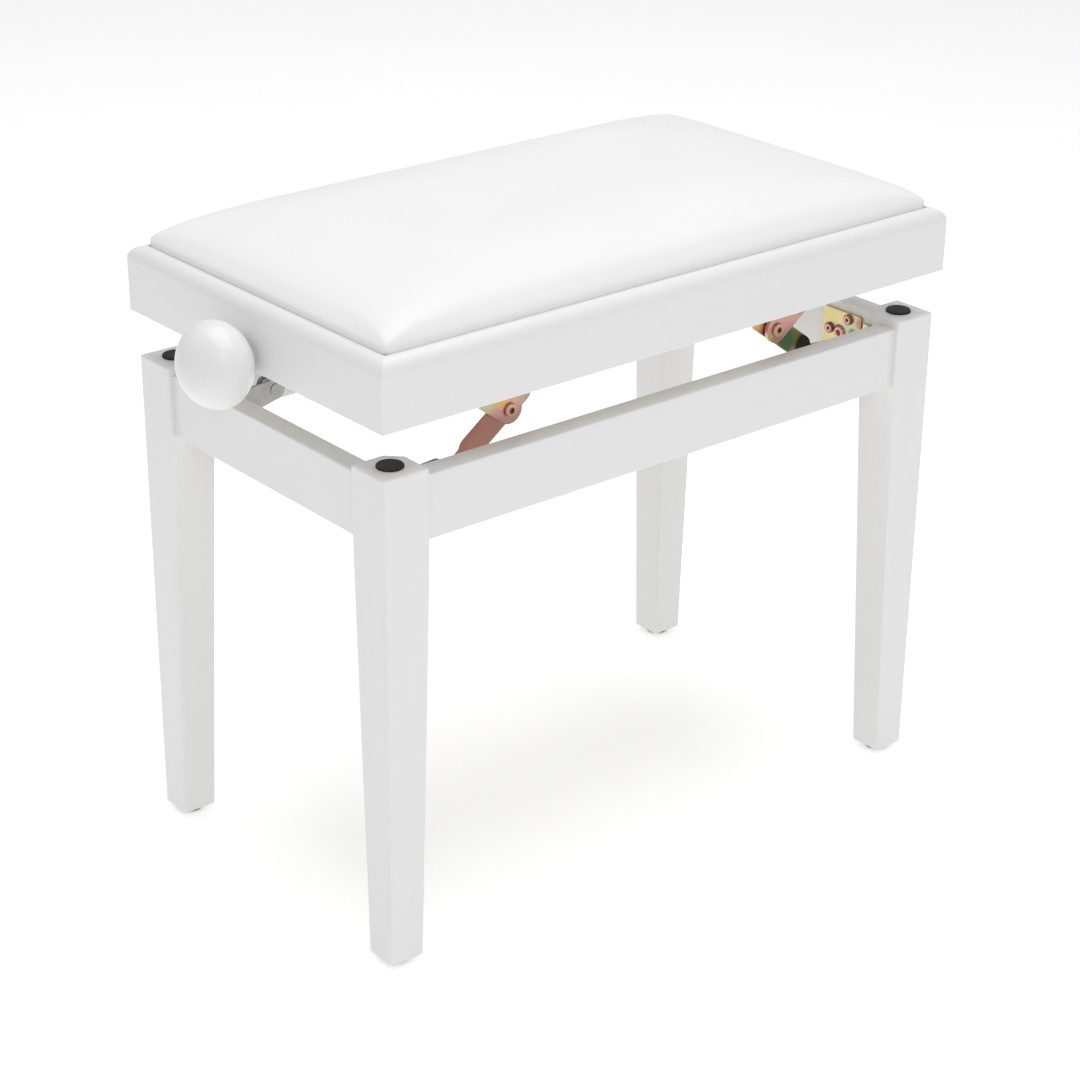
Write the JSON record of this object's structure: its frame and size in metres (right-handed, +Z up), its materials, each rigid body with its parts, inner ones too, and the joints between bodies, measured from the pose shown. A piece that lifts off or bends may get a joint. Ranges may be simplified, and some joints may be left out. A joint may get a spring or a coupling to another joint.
{
  "type": "piano bench",
  "caption": "Height-adjustable piano bench: padded seat in a wooden frame on tapered legs, raised and lowered by a side knob that turns a spindle between folding steel links.",
  "frame": {"origin": "on the floor, midway between the four legs", "axes": "+X along the bench away from the knob, -Y towards the sitter's front side, +Z up"},
  "size_m": [0.6098, 0.321, 0.5195],
  "materials": {
    "white_lacquer": "satin",
    "seat_leatherette": "semi-matte",
    "seat_foam": "matte",
    "zinc_plated_steel": "yellow zinc plated",
    "bright_steel": "bright",
    "rubber": "matte",
    "plywood": "raw",
    "brass": "turned",
    "bush_plastic": "matte",
    "glide_plastic": "matte"
  },
  "bodies": {
    "base": {"apron_back": "white_lacquer", "apron_front": "white_lacquer", "apron_left": "white_lacquer", "apron_right": "white_lacquer", "base_bracket_back_left": "zinc_plated_steel", "base_bracket_back_right": "zinc_plated_steel", "base_bracket_front_left": "zinc_plated_steel", "base_bracket_front_right": "zinc_plated_steel", "base_bracket_screws": "zinc_plated_steel", "base_pivot_pins": "zinc_plated_steel", "base_pivot_spacers": "bright_steel", "corner_plate_screws": "zinc_plated_steel", "corner_plates": "zinc_plated_steel", "floor_glides": "glide_plastic", "hanger_bolts": "bright_steel", "hanger_nuts": "bright_steel", "leg_back_left": "white_lacquer", "leg_back_right": "white_lacquer", "leg_front_left": "white_lacquer", "leg_front_right": "white_lacquer", "seat_bumpers": "rubber"},
    "arm_left": {"knee_rivets_left": "zinc_plated_steel", "lift_arm_back_left": "zinc_plated_steel", "lift_arm_front_left": "zinc_plated_steel"},
    "link_left": {"support_link_back_left": "zinc_plated_steel", "support_link_front_left": "zinc_plated_steel"},
    "crossbar_left": {"crossbar_clips_left": "bright_steel", "crossbar_left": "zinc_plated_steel", "crossbar_nut_left": "brass"},
    "arm_right": {"knee_rivets_right": "zinc_plated_steel", "lift_arm_back_right": "zinc_plated_steel", "lift_arm_front_right": "zinc_plated_steel"},
    "link_right": {"support_link_back_right": "zinc_plated_steel", "support_link_front_right": "zinc_plated_steel"},
    "crossbar_right": {"crossbar_clips_right": "bright_steel", "crossbar_nut_right": "brass", "crossbar_right": "zinc_plated_steel"},
    "seat": {"corner_block_screws": "zinc_plated_steel", "mechanism_screws": "zinc_plated_steel", "seat_board": "plywood", "seat_corner_blocks": "plywood", "seat_cover": "seat_leatherette", "seat_foam": "seat_foam", "seat_pivot_pins": "zinc_plated_steel", "seat_pivot_spacers": "bright_steel", "seat_rail_back": "white_lacquer", "seat_rail_front": "white_lacquer", "seat_rail_left": "white_lacquer", "seat_rail_right": "white_lacquer", "spindle_bush": "bush_plastic", "spindle_hanger_left": "zinc_plated_steel", "spindle_hanger_right": "zinc_plated_steel", "track_back": "zinc_plated_steel", "track_front": "zinc_plated_steel"},
    "spindle": {"knob": "white_lacquer", "knob_grub_screw": "bright_steel", "spindle": "bright_steel", "spindle_collars": "bright_steel"}
  },
  "joints": [
    {"name": "lift_left", "type": "hinge", "parent": "base", "child": "arm_left", "pos_m": [-0.188, 0, 0.36482], "axis": [0, -1, 0], "range_deg": [-16.4, 32]},
    {"name": "knee_left", "type": "hinge", "parent": "arm_left", "child": "link_left", "pos_m": [-0.1342, 0, 0.40391], "axis": [0, -1, 0], "range_deg": [-64, 32.8]},
    {"name": "crossbar_eye_left", "type": "hinge", "parent": "arm_left", "child": "crossbar_left", "pos_m": [-0.0804, 0, 0.443], "axis": [0, -1, 0], "range_deg": [-32, 16.4]},
    {"name": "seat_pivot_left", "type": "hinge", "parent": "link_left", "child": "seat", "pos_m": [-0.188, 0, 0.443], "axis": [0, -1, 0], "range_deg": [-16.4, 32]},
    {"name": "lift_right", "type": "hinge", "parent": "base", "child": "arm_right", "pos_m": [0.188, 0, 0.36482], "axis": [0, 1, 0], "range_deg": [-16.4, 32]},
    {"name": "knee_right", "type": "hinge", "parent": "arm_right", "child": "link_right", "pos_m": [0.1342, 0, 0.40391], "axis": [0, 1, 0], "range_deg": [-64, 32.8]},
    {"name": "crossbar_eye_right", "type": "hinge", "parent": "arm_right", "child": "crossbar_right", "pos_m": [0.0804, 0, 0.443], "axis": [0, 1, 0], "range_deg": [-32, 16.4]},
    {"name": "spindle_turn", "type": "hinge", "parent": "seat", "child": "spindle", "pos_m": [0, 0, 0.443], "axis": [1, 0, 0], "range_deg": [-1836.8, 3584]}
  ],
  "couplings": [
    {"joint": "knee_left", "follows": "lift_left", "ratio": -2},
    {"joint": "crossbar_eye_left", "follows": "lift_left", "ratio": -1},
    {"joint": "seat_pivot_left", "follows": "lift_left", "ratio": 1},
    {"joint": "lift_right", "follows": "lift_left", "ratio": 1},
    {"joint": "knee_right", "follows": "lift_left", "ratio": -2},
    {"joint": "crossbar_eye_right", "follows": "lift_left", "ratio": -1},
    {"joint": "spindle_turn", "follows": "lift_left", "ratio": 112}
  ]
}
